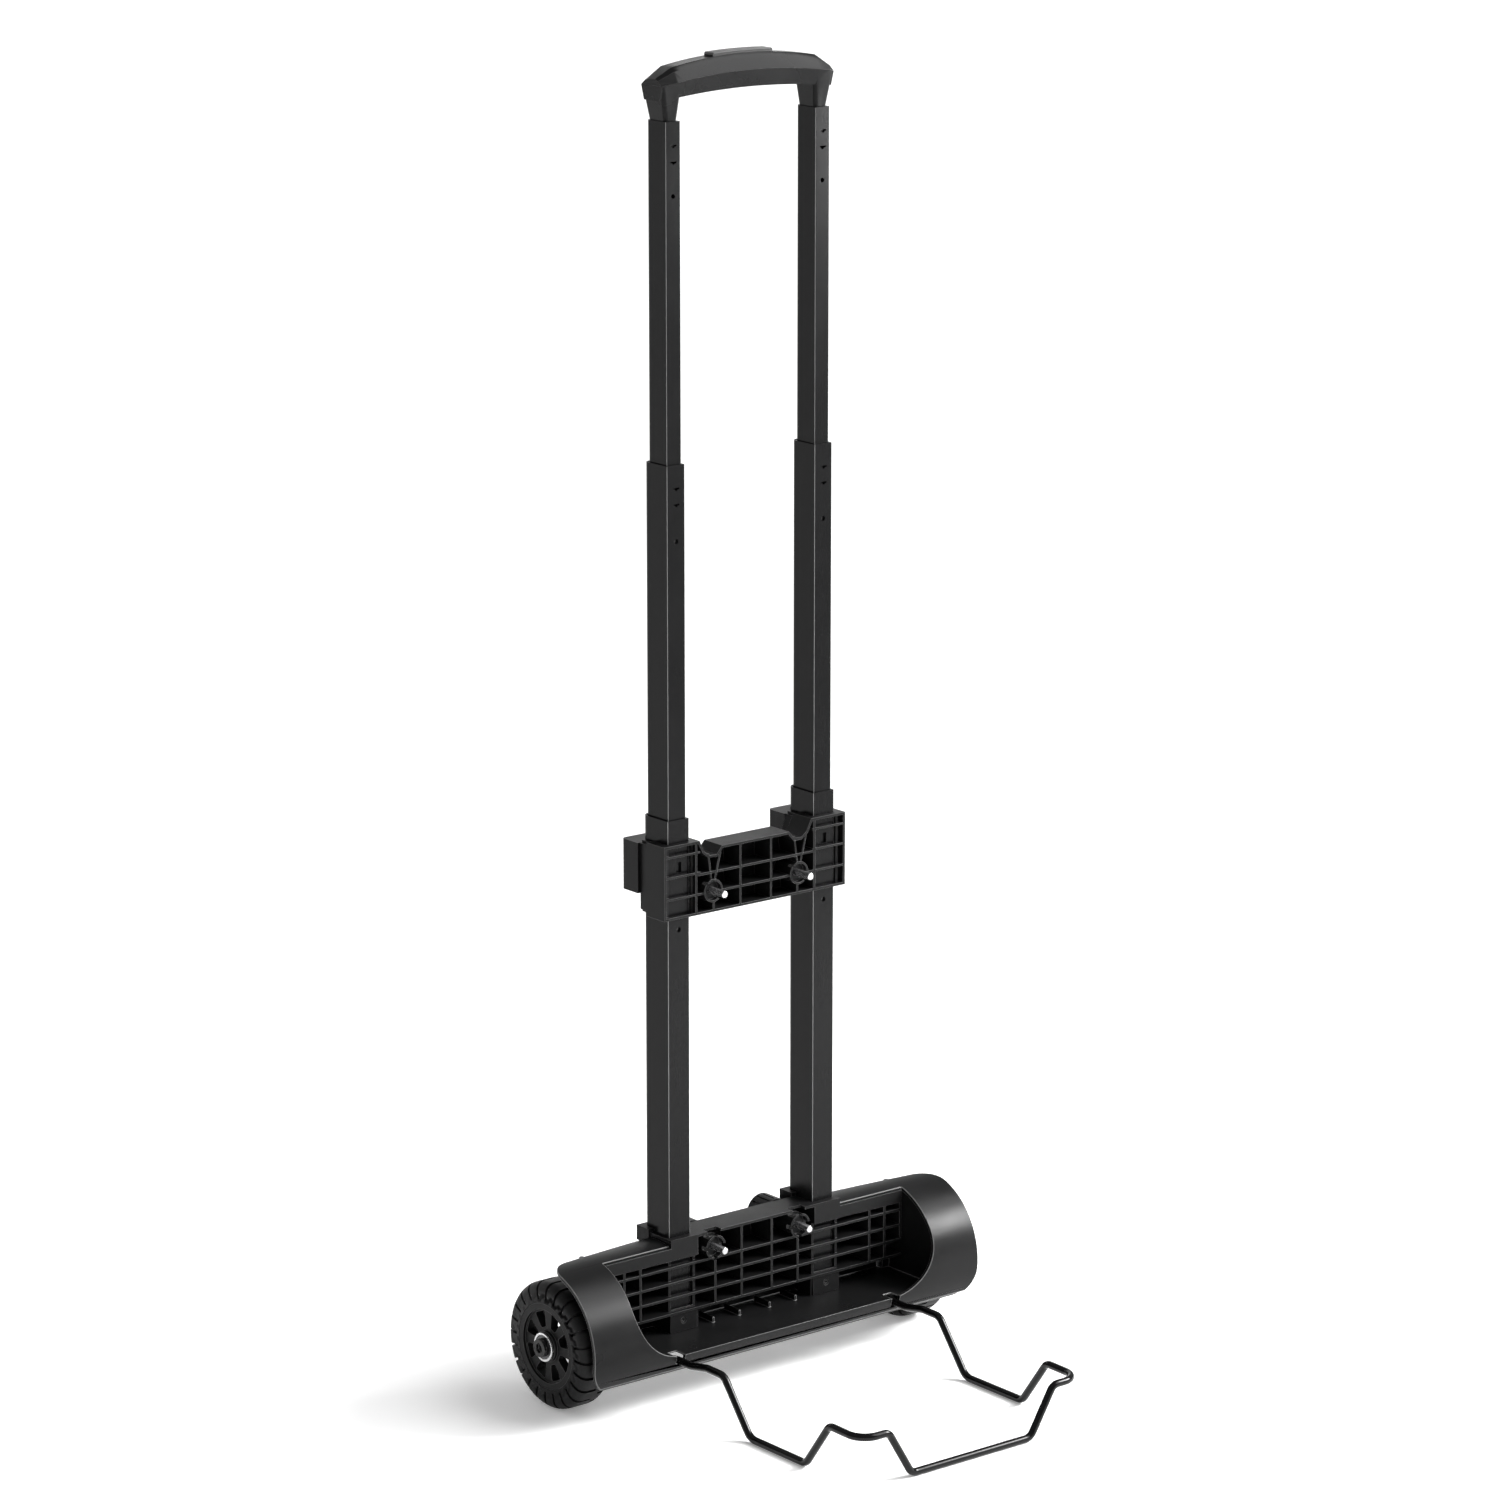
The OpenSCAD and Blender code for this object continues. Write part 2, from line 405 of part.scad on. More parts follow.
module grip_voids() {
  box(-75, 75, -3.6, 3.6, 1000.6, 1009.6);
  box(-28.6, 28.6, -6.1, 6.1, 1008.8, 1040);
  for (s = [-1, 1]) {
    translate([s*tx, 0, 950]) cylinder(h = 60, r = 2.9);
    translate([s*tx, 0, 985.5]) cylinder(h = 24.1, r = 4.5);
  }
}
module grip_body() { color([0.08, 0.08, 0.09]) at() difference() {
  union() {
    difference() { union() { beam(); for (s = [-1, 1]) leg(s); } above_seam(); }
    for (s = [-1, 1]) { translate([s*tx, 0, 955]) linear_extrude(height = 25) polygon(rrect(11.4, 20.4, 3)); }
  }
  grip_voids();
} }
module grip_cover() { color([0.09, 0.09, 0.1]) at() difference() {
  intersection() { beam(); translate([0, 0, 0.1]) above_seam(); }
  grip_voids();
} }
module release_button() { color([0.06, 0.06, 0.07]) at() difference() {
  union() {
    intersection() {
      box(-28.2, 28.2, -5.7, 5.7, 1012, 1030);
      yprism(-6, 6) polygon(concat([[-28.2, 1012], [28.2, 1012], [28.2, 1024.4]], [for (i = [10:-1:-10]) [27.4*i/10, 1026.2 - 0.7*pow(i/10, 2)]], [[-28.2, 1024.4]]));
    }
    for (x = [-20, 20]) box(x - 3, x + 3, -3, 3, 1009.2, 1013);
  }
} }
module release_rods() { color([0.2, 0.2, 0.21]) at() {
  box(-tx - 2.5, tx + 2.5, -3, 3, 1004.2, 1009);
  for (s = [-1, 1]) translate([s*tx, 0, 676]) cylinder(h = 329, r = 2.45);
} }
module spring(s) { color([0.75, 0.75, 0.77]) at()
  sweep([for (i = [0:84]) [s*tx + 3.5*cos(i*360/14), 3.5*sin(i*360/14), 986.4 + 17.2*i/84]], 0.45, 6, [0, 0, 1]); }
module button_spring_left() { spring(-1); }
module button_spring_right() { spring(1); }

housing_shell();
rib_panel();
stub_axle_left();
stub_axle_right();
axle_bolt_left();
axle_bolt_right();
washer_left();
washer_right();
lower_tube_left();
lower_tube_right();
lower_guide_left();
lower_guide_right();
crossbar();
rear_foot_left();
rear_foot_right();
base_pin_left();
base_pin_right();
cross_pin_left();
cross_pin_right();
pin_cap_base_left();
pin_cap_base_right();
pin_cap_cross_left();
pin_cap_cross_right();
sleeve_screw_left();
sleeve_screw_right();
pivot_clip_left();
pivot_clip_right();
wheel_rim_left();
wheel_rim_right();
tyre_left();
tyre_right();
cord_knob_base_left();
cord_knob_base_right();
cord_knob_cross_left();
cord_knob_cross_right();
platform_wire();
middle_tube_left();
middle_tube_right();
middle_guide_left();
middle_guide_right();
middle_slider_left();
middle_slider_right();
middle_lock_left();
middle_lock_right();
upper_tube_left();
upper_tube_right();
upper_slider_left();
upper_slider_right();
upper_lock_left();
upper_lock_right();
grip_body();
grip_cover();
release_button();
release_rods();
button_spring_left();
button_spring_right();
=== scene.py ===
"""Folding luggage cart: finish and studio.

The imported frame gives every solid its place. Each operator below dresses one group of parts, either by
putting a finish on the solid itself or by building a rounder moulding, casting or bend that stands for it.
"""
import json
import math

import bpy
from mathutils import Matrix, Vector


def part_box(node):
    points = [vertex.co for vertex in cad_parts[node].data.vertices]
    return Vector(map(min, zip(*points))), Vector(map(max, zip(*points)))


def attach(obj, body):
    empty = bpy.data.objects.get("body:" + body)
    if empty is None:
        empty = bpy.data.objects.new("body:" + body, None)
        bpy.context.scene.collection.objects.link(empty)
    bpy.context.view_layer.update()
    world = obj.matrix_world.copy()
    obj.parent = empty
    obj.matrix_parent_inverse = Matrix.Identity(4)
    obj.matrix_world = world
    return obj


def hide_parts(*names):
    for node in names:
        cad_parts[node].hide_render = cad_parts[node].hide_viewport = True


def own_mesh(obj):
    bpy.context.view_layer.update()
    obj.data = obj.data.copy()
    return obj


bl_info = {
    "name": "Folding luggage cart",
    "version": (1, 0, 0),
    "blender": (4, 5, 0),
    "location": "View3D > Sidebar > Luggage Cart",
    "description": "Finishes and studio for a folding luggage cart with a telescoping handle",
    "category": "Object",
}

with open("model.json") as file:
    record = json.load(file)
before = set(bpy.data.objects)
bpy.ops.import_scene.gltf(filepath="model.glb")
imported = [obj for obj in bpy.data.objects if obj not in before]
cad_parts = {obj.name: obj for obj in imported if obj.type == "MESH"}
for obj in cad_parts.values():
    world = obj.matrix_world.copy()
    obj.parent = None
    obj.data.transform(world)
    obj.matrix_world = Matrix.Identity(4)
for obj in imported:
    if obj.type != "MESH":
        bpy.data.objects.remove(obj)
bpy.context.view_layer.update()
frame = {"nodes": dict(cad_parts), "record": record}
NODES = frame["nodes"]
BODY_OF = {n: b for b, ns in frame["record"]["behaviour"]["bodies"].items() for n in ns}
WIRE_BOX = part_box("platform_wire")
TUBE_LOW, TUBE_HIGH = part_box("upper_tube_right")
TUBE_X = (TUBE_LOW[0] + TUBE_HIGH[0]) / 2    # middle of the right tube
MID_Y = (TUBE_LOW[1] + TUBE_HIGH[1]) / 2     # the plane of both tubes, from which the other depths are told
SIDES = (("left", -1), ("right", 1))

# Edge roundings, in metres, of the parts that have their own
GRIP_ROUND = 0.0015
BUTTON_ROUND = 0.0007
FOOT_ROUND = 0.0015
CLIP_ROUND = 0.0004
KNOB_ROUND = 0.0006
RIM_ROUND = 0.0008
PIN_ROUND = 0.0005
WASHER_ROUND = 0.0003
SCREW_ROUND = 0.0002
SPRING_ROUND = 0.00004
RIB_ROUND_SHARE = 0.35    # ribs are rounded by this share of the mouldings' rounding

WELD = 0.000002           # points nearer than this are one point
RIB_WELD = 0.00003
SHELL_WELD = 0.00008

# The platform wire, from the plane of the tubes and the floor
ARM_X = 0.107
PIVOT = (MID_Y - 0.056, 0.0405)
WIRE_SIDES = 20
BEND_STEP = 9             # degrees of bend to each ring of faces

# The tyre's section
TYRE_BORE_SHARE = 0.68    # of the outer radius
SHOULDER_ROUND = 0.0075
STEPS_PER_BLOCK = 5
TREAD_ROUND = 0.00045


class CartSettings(bpy.types.PropertyGroup):
    """Sizes and colours a user would change."""
    plastic_colour: bpy.props.FloatVectorProperty(
        name="Plastic", description="Moulded plastic of the housing and crossbar",
        subtype="COLOR", size=3, default=(0.0068, 0.0068, 0.0070))
    grip_colour: bpy.props.FloatVectorProperty(
        name="Grip", description="Plastic of the grip and its button",
        subtype="COLOR", size=3, default=(0.0055, 0.0055, 0.0057))
    tube_colour: bpy.props.FloatVectorProperty(
        name="Tubes", description="Satin coat of the handle tubes",
        subtype="COLOR", size=3, default=(0.0040, 0.0040, 0.0042))
    rubber_colour: bpy.props.FloatVectorProperty(
        name="Tyres", description="Rubber of the tyres",
        subtype="COLOR", size=3, default=(0.0062, 0.0062, 0.0064))
    wire_colour: bpy.props.FloatVectorProperty(
        name="Wire", description="Gloss coat of the platform wire",
        subtype="COLOR", size=3, default=(0.0025, 0.0025, 0.0026))
    floor_colour: bpy.props.FloatVectorProperty(
        name="Floor", description="Studio floor and backdrop",
        subtype="COLOR", size=3, default=(0.93, 0.93, 0.93))
    mould_round: bpy.props.FloatProperty(
        name="Moulding edge", description="Edge rounding of moulded parts",
        subtype="DISTANCE", unit="LENGTH", default=0.0006, min=0.0001, max=0.002)
    tube_round: bpy.props.FloatProperty(
        name="Tube edge", description="Edge rounding at the cut ends of the tubes",
        subtype="DISTANCE", unit="LENGTH", default=0.00025, min=0.0001, max=0.001)
    tread_blocks: bpy.props.IntProperty(
        name="Tread blocks", description="Blocks round each tyre",
        default=24, min=12, max=36)
    tread_depth: bpy.props.FloatProperty(
        name="Tread depth", description="Depth of the tread grooves",
        subtype="DISTANCE", unit="LENGTH", default=0.0022, min=0.0005, max=0.003)
    floor_glow: bpy.props.FloatProperty(
        name="Floor glow", description="Light the paper gives back where it lies in shadow",
        default=0.2, min=0.0, max=1.0)
    air: bpy.props.FloatProperty(
        name="Air", description="Brightness of the studio all round",
        default=0.36, min=0.0, max=3.0)
    wire_thickness: bpy.props.FloatProperty(
        name="Wire thickness", description="Diameter of the platform wire",
        subtype="DISTANCE", unit="LENGTH", default=0.006, min=0.003, max=0.008)
    key_power: bpy.props.FloatProperty(
        name="Overhead light", description="Strength of the wide overhead light",
        default=3.1, min=0.0, max=20.0)
    front_power: bpy.props.FloatProperty(
        name="Softbox", description="Power of the softbox at the right",
        subtype="POWER", unit="POWER", default=27.0, min=0.0, max=300.0)
    lens: bpy.props.FloatProperty(
        name="Lens", description="Camera focal length on a 36 mm sensor",
        subtype="DISTANCE_CAMERA", default=132.77, min=20.0, max=300.0)


def settings():
    return bpy.context.scene.cart


# ---------------------------------------------------------------- finishes

def finish_base(name, colour, roughness, metallic=0.0, specular=0.5, coat=0.0, coat_roughness=0.1):
    """A new finish: the shader with its constants set on its own sockets."""
    mat = bpy.data.materials.new(name)
    mat.use_nodes = True
    shader = mat.node_tree.nodes["Principled BSDF"]
    shader.inputs["Base Color"].default_value = (*colour, 1)
    shader.inputs["Roughness"].default_value = roughness
    shader.inputs["Metallic"].default_value = metallic
    shader.inputs["Specular IOR Level"].default_value = specular
    shader.inputs["Coat Weight"].default_value = coat
    shader.inputs["Coat Roughness"].default_value = coat_roughness
    return mat, mat.node_tree.nodes, mat.node_tree.links, shader


def grained(name, colour, roughness, grain_scale, grain_bump, stretch=(1, 1, 1), spread=0.06, mottle=0.25, **kw):
    """A finish with a fine grain in the surface, slow changes of gloss, and slightly uneven colour."""
    mat, nodes, links, shader = finish_base(name, colour, roughness, **kw)
    coords = nodes.new("ShaderNodeTexCoord")
    place = nodes.new("ShaderNodeMapping")
    place.inputs["Scale"].default_value = stretch
    links.new(coords.outputs["Object"], place.inputs["Vector"])
    grain = nodes.new("ShaderNodeTexNoise")
    grain.inputs["Scale"].default_value = grain_scale
    grain.inputs["Detail"].default_value = 3.0
    links.new(place.outputs["Vector"], grain.inputs["Vector"])
    cloud = nodes.new("ShaderNodeTexNoise")
    cloud.inputs["Scale"].default_value = 22.0
    cloud.inputs["Detail"].default_value = 4.0
    links.new(coords.outputs["Object"], cloud.inputs["Vector"])
    gloss = nodes.new("ShaderNodeMapRange")
    gloss.inputs["From Min"].default_value = 0.3
    gloss.inputs["From Max"].default_value = 0.7
    gloss.inputs["To Min"].default_value = roughness - spread
    gloss.inputs["To Max"].default_value = roughness + spread
    links.new(cloud.outputs["Fac"], gloss.inputs["Value"])
    links.new(gloss.outputs["Result"], shader.inputs["Roughness"])
    tone = nodes.new("ShaderNodeMix")
    tone.data_type = "RGBA"
    tone.inputs["A"].default_value = (*[c * (1 - mottle) for c in colour], 1)
    tone.inputs["B"].default_value = (*[c * (1 + mottle) for c in colour], 1)
    links.new(cloud.outputs["Fac"], tone.inputs["Factor"])
    links.new(tone.outputs["Result"], shader.inputs["Base Color"])
    bump = nodes.new("ShaderNodeBump")
    bump.inputs["Strength"].default_value = grain_bump
    bump.inputs["Distance"].default_value = 0.0002
    links.new(grain.outputs["Fac"], bump.inputs["Height"])
    links.new(bump.outputs["Normal"], shader.inputs["Normal"])
    return mat


FINISHES = {}
# kind: colour, roughness, grain scale, grain bump, the lighter colour its rounded edges are painted as a painted
# highlight, and other shader values
# kind: colour or the setting that holds it, roughness, grain scale, grain depth, tone of the painted edge highlight,
# the rest
FINISH_TABLE = {
    "housing_plastic": ("plastic_colour", 0.32, 1500, 0.15, 0.11, dict(specular=0.12)),
    "frame_plastic": ("plastic_colour", 0.37, 1300, 0.25, 0.07, dict(specular=0.1)),
    "grip_plastic": ("grip_colour", 0.28, 1700, 0.2, 0.05, dict(specular=0.15)),
    "button_plastic": ("grip_colour", 0.3, 1700, 0.15, 0.1, dict(specular=0.16)),
    "satin_tube": ("tube_colour", 0.23, 900, 0.08, 0.3,
                   dict(stretch=(1, 1, 0.02), spread=0.03, mottle=0.12, specular=0.11)),
    "tyre_rubber": ("rubber_colour", 0.5, 800, 0.4, 0.03, dict(specular=0.16)),
    "rim_plastic": ("plastic_colour", 0.42, 1200, 0.25, 0.05, dict(specular=0.14)),
    "knob_plastic": ("plastic_colour", 0.4, 1200, 0.25, 0.07, dict(specular=0.16)),
    "slide_plastic": ((0.007, 0.007, 0.007), 0.5, 900, 0.2, 0.02, dict(specular=0.15)),
    "gloss_wire": ("wire_colour", 0.14, 420, 0.04, 0.01, dict(spread=0.03, specular=0.2)),
    "bright_steel": ((0.5, 0.5, 0.51), 0.2, 900, 0.1, 0.6,
                     dict(stretch=(1, 0.03, 1), metallic=0.85, mottle=0.05, spread=0.05)),
    "chrome": ((0.72, 0.72, 0.73), 0.16, 600, 0.04, 0.9, dict(metallic=0.8, mottle=0.03, spread=0.03)),
    "dull_chrome": ((0.11, 0.11, 0.112), 0.3, 700, 0.08, 0.3, dict(metallic=0.8, mottle=0.1)),
    "black_steel": ((0.006, 0.006, 0.0062), 0.22, 900, 0.08, 0.05, dict(specular=0.35)),
    "bare_alloy": ((0.42, 0.42, 0.43), 0.3, 900, 0.1, 0.5,
                   dict(stretch=(1, 1, 0.03), metallic=1.0, mottle=0.05)),
}


def finish(kind, painted_highlight=False):
    """The finish of that kind, or its lighter version painted on rounded edges as a painted highlight, made once."""
    name = f"{kind}_edge" if painted_highlight else kind
    if name not in FINISHES:
        colour, roughness, scale, bump, edge, values = FINISH_TABLE[kind]
        if isinstance(colour, str):
            colour = getattr(settings(), colour)
        # Rounded edges get the lighter edge tone: a painted highlight along them.
        if painted_highlight:
            colour = (edge, edge, edge)
        FINISHES[name] = grained(name, colour, roughness, scale, bump, **values)
    return FINISHES[name]


SLOT_FINISH = {
    "anodised_tube": "satin_tube", "tyre_rubber": "tyre_rubber", "coated_wire": "gloss_wire",
    "steel": "bright_steel", "black_steel": "black_steel", "chrome": "chrome", "rod_alloy": "bare_alloy",
    "grip_plastic": "grip_plastic", "slide_plastic": "slide_plastic", "knob_plastic": "knob_plastic",
    "rim_plastic": "rim_plastic", "moulded_plastic": "frame_plastic",
}
SLOT_OF = {p["node"]: p["material_slot"] for p in frame["record"]["subparts"]}


def dress(obj, kind, edges=False):
    """Puts one finish all over a piece, with the lighter edge tone, a painted highlight, as the second slot."""
    obj.data.materials.clear()
    obj.data.materials.append(finish(kind))
    if edges:
        obj.data.materials.append(finish(kind, painted_highlight=True))


def dress_node(name, kind=None):
    """Dresses a solid that stays as it is."""
    dress(NODES[name], kind or SLOT_FINISH[SLOT_OF[name]])


# ---------------------------------------------------------------- bench tools

def only(obj):
    """Makes obj the one thing selected and active."""
    if bpy.context.mode != "OBJECT":
        bpy.ops.object.mode_set(mode="OBJECT")
    bpy.ops.object.select_all(action="DESELECT")
    obj.select_set(True)
    bpy.context.view_layer.objects.active = obj


def edit(obj, mode="EDGE"):
    """Edit mode on obj, with nothing selected."""
    only(obj)
    bpy.ops.object.mode_set(mode="EDIT")
    bpy.ops.mesh.select_mode(type=mode)
    bpy.ops.mesh.select_all(action="DESELECT")


def object_mode():
    bpy.ops.object.mode_set(mode="OBJECT")


def pick(obj, kind, test):
    """Selects the faces, edges or vertices of obj whose middle passes the test, and goes back to edit mode."""
    object_mode()
    mesh = obj.data
    for group in (mesh.vertices, mesh.edges, mesh.polygons):
        group.foreach_set("select", [False] * len(group))
    if kind == "FACE":
        chosen = [f for f in mesh.polygons if test(f.center, f.normal)]
    elif kind == "EDGE":
        ends = [[mesh.vertices[v].co for v in e.vertices] for e in mesh.edges]
        chosen = [e for e, (a, b) in zip(mesh.edges, ends) if test(a, b)]
    else:
        chosen = [v for v in mesh.vertices if test(v.co)]
    for part in chosen:
        part.select = True
        if kind != "VERT":
            for v in part.vertices:
                mesh.vertices[v].select = True
    if kind == "FACE":
        keys = {tuple(sorted(k)) for f in chosen for k in f.edge_keys}
        for e in mesh.edges:
            if tuple(sorted(e.vertices)) in keys:
                e.select = True
    bpy.ops.object.mode_set(mode="EDIT")
    bpy.ops.mesh.select_mode(type=kind)


def apply_bevel(obj, width, segments=2, angle=30.0, slot=-1, clamp=True):
    """Rounds every edge sharper than angle; slot is the finish of the new faces."""
    only(obj)
    mod = obj.modifiers.new("edge", "BEVEL")
    mod.width = width
    mod.segments = segments
    mod.limit_method = "ANGLE"
    mod.angle_limit = math.radians(angle)
    mod.miter_outer = "MITER_ARC"
    mod.material = slot
    mod.use_clamp_overlap = clamp
    bpy.ops.object.modifier_apply(modifier=mod.name)


def smooth(obj, angle=40.0, weight=50):
    """Smooth shading that keeps flat faces flat: the large faces set the normals and only rounded edges turn."""
    only(obj)
    bpy.ops.object.shade_smooth_by_angle(angle=math.radians(angle))
    if weight:
        mod = obj.modifiers.new("flats", "WEIGHTED_NORMAL")
        mod.keep_sharp = True
        mod.weight = weight
        bpy.ops.object.modifier_apply(modifier=mod.name)


def place_in_mesh(obj):
    """Moves the object's place into its mesh, so that the object sits at the origin."""
    only(obj)
    bpy.ops.object.transform_apply(location=True, rotation=True, scale=True)


def settle(obj, body, kind, *nodes):
    """Dresses a finished piece, puts it on its body and hides the solids it stands for."""
    if kind:
        dress(obj, kind)
    place_in_mesh(obj)
    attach(obj, body)
    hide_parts(*nodes)


def paint_highlight(obj, test):
    """Gives the faces that pass the test the lighter finish, a painted highlight."""
    for face in obj.data.polygons:
        if test(face.center, face.normal):
            face.material_index = 1


def moulded(node, width, kind=None, segments=2, angle=30.0, word="moulded", planar=True, weight=50,
            painted_highlight=True, clamp=True, merge=WELD):
    """A copy of one solid, merged, with its edges rounded as a mould or a tumbled casting leaves them."""
    src = NODES[node]
    obj = src.copy()
    obj.data = src.data.copy()
    obj.name = obj.data.name = f"{node}_{word}"
    bpy.context.scene.collection.objects.link(obj)
    obj.parent = None
    obj.matrix_world = Matrix.Identity(4)
    obj.hide_render = False
    dress(obj, kind or SLOT_FINISH[SLOT_OF[node]], edges=True)
    edit(obj, "VERT")
    bpy.ops.mesh.select_all(action="SELECT")
    bpy.ops.mesh.remove_doubles(threshold=merge)
    bpy.ops.mesh.dissolve_degenerate(threshold=max(merge, 0.000005))
    if planar:
        bpy.ops.mesh.dissolve_limited(angle_limit=math.radians(0.6))
    object_mode()
    # The rounded faces take the second slot, whose lighter tone is a painted highlight along the edges.
    apply_bevel(obj, width, segments, angle, slot=1 if painted_highlight else 0, clamp=clamp)
    edit(obj, "VERT")
    bpy.ops.mesh.select_all(action="SELECT")
    bpy.ops.mesh.dissolve_degenerate(threshold=0.000003)
    object_mode()
    smooth(obj, weight=weight)
    settle(obj, BODY_OF[node], None, node)
    return obj


# ---------------------------------------------------------------- operators

class CART_OT_stage(bpy.types.Operator):
    """Floor, soft lights and camera"""
    bl_idname = "cart.stage"
    bl_label = "Stage"

    def execute(self, context):
        s = settings()
        bpy.ops.object.select_all(action="DESELECT")
        bpy.ops.mesh.primitive_plane_add(size=30, location=(4, 5, 0))
        floor = context.active_object
        floor.name = "studio_floor"
        edit(floor)
        pick(floor, "EDGE", lambda a, b: a.y > 10 and b.y > 10)
        bpy.ops.mesh.extrude_region_move(TRANSFORM_OT_translate={"value": (0, 0, 14)})
        pick(floor, "EDGE", lambda a, b: abs(a.z) < 0.01 and abs(b.z) < 0.01 and a.y > 10 and b.y > 10)
        bpy.ops.mesh.bevel(offset=6, segments=24)
        object_mode()
        smooth(floor, 60)
        place_in_mesh(floor)
        mat, nodes, links, shader = finish_base("studio_paper", s.floor_colour, 0.85, specular=0.15)
        shader.inputs["Emission Color"].default_value = (1, 1, 1, 1)
        shader.inputs["Emission Strength"].default_value = s.floor_glow
        coords = nodes.new("ShaderNodeTexCoord")
        fibre = nodes.new("ShaderNodeTexNoise")
        fibre.inputs["Scale"].default_value = 180
        links.new(coords.outputs["Object"], fibre.inputs["Vector"])
        bump = nodes.new("ShaderNodeBump")
        bump.inputs["Strength"].default_value = 0.02
        bump.inputs["Distance"].default_value = 0.0002
        links.new(fibre.outputs["Fac"], bump.inputs["Height"])
        links.new(bump.outputs["Normal"], shader.inputs["Normal"])
        floor.data.materials.append(mat)

        world = bpy.data.worlds.new("studio_air")
        context.scene.world = world
        world.use_nodes = True
        world.node_tree.nodes["Background"].inputs["Color"].default_value = (1, 1, 1, 1)
        world.node_tree.nodes["Background"].inputs["Strength"].default_value = s.air
        context.scene.view_settings.view_transform = "Standard"

        bpy.ops.object.light_add(type="SUN", location=(0.5, -0.5, 4),
                                 rotation=(math.radians(26.7), math.radians(41.3), 0))
        sky = context.active_object
        sky.name = "overhead_light"
        sky.data.energy = s.key_power
        sky.data.angle = math.radians(50)

        aim = Vector((0, MID_Y, 0.3))
        for name, place, size, power in (
            ("right_softbox", (1.2, -0.82 + MID_Y, 0.95), (0.6, 0.5), s.front_power * 1.6),
            ("front_softbox", (4.9, -6.6, 1.35), (5.0, 1.3), s.front_power * 1.5),
        ):
            bpy.ops.object.light_add(type="AREA", location=place)
            lamp = context.active_object
            lamp.name = name
            lamp.data.shape = "RECTANGLE"
            lamp.data.size, lamp.data.size_y = size
            lamp.data.energy = power
            lamp.rotation_euler = (aim - Vector(place)).to_track_quat("-Z", "Y").to_euler()

        bpy.ops.object.camera_add(location=(-2.55696, -3.20769 + MID_Y, 1.4915),
                                  rotation=(math.radians(90 - 13.70), 0, math.radians(-38.68)))
        camera = context.active_object
        camera.name = "studio_camera"
        camera.data.sensor_width = 36
        camera.data.lens = s.lens
        camera.data.clip_end = 60
        context.scene.camera = camera
        return {"FINISHED"}


class CART_OT_tubes(bpy.types.Operator):
    """The six tubes with rounded cut ends, and the guides and sliders inside them"""
    bl_idname = "cart.tubes"
    bl_label = "Tubes"

    def execute(self, context):
        for side, _ in SIDES:
            for stage in ("lower", "middle", "upper"):
                tube = moulded(f"{stage}_tube_{side}", settings().tube_round, "satin_tube",
                               angle=35, word="drawn", weight=85, painted_highlight=False)
                # The two front corners of each tube are painted lighter: a painted highlight along them.
                paint_highlight(tube, self.front_corner)
            for name in ("lower_guide", "middle_guide", "middle_slider", "upper_slider"):
                dress_node(f"{name}_{side}")
        return {"FINISHED"}

    @staticmethod
    def front_corner(centre, normal):
        """True for the long slanting faces at a tube's two front corners, which are painted lighter as a painted
        highlight.
        """
        slanting = normal.y < -0.3 and abs(normal.x) > 0.3 and abs(normal.z) < 0.1
        return slanting and abs(abs(centre.x) - TUBE_X) > 0.0065


class CART_OT_grip(bpy.types.Operator):
    """Grip, its cover, the release button, its rods and springs"""
    bl_idname = "cart.grip"
    bl_label = "Grip"

    def execute(self, context):
        moulded("grip_body", GRIP_ROUND, "grip_plastic", segments=3, angle=22)
        moulded("grip_cover", GRIP_ROUND, "grip_plastic", segments=3, angle=22)
        moulded("release_button", BUTTON_ROUND, "button_plastic", segments=3, angle=25)
        dress_node("release_rods")
        for side, _ in SIDES:
            spring = moulded(f"button_spring_{side}", SPRING_ROUND, "bright_steel",
                             segments=1, angle=75, word="coiled", planar=False)
            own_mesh(spring)
        return {"FINISHED"}


class CART_OT_frame(bpy.types.Operator):
    """Housing, ribbed frame, crossbar and rear feet"""
    bl_idname = "cart.frame"
    bl_label = "Housing and crossbar"

    def execute(self, context):
        s = settings()
        moulded("housing_shell", s.mould_round, "housing_plastic", clamp=False, merge=SHELL_WELD)
        for name in ("rib_panel", "crossbar"):
            moulded(name, s.mould_round * RIB_ROUND_SHARE, "frame_plastic", clamp=False, planar=False, merge=RIB_WELD)
        for side, _ in SIDES:
            moulded(f"rear_foot_{side}", FOOT_ROUND, "frame_plastic", segments=3)
            moulded(f"pivot_clip_{side}", CLIP_ROUND, "slide_plastic", painted_highlight=False)
        return {"FINISHED"}


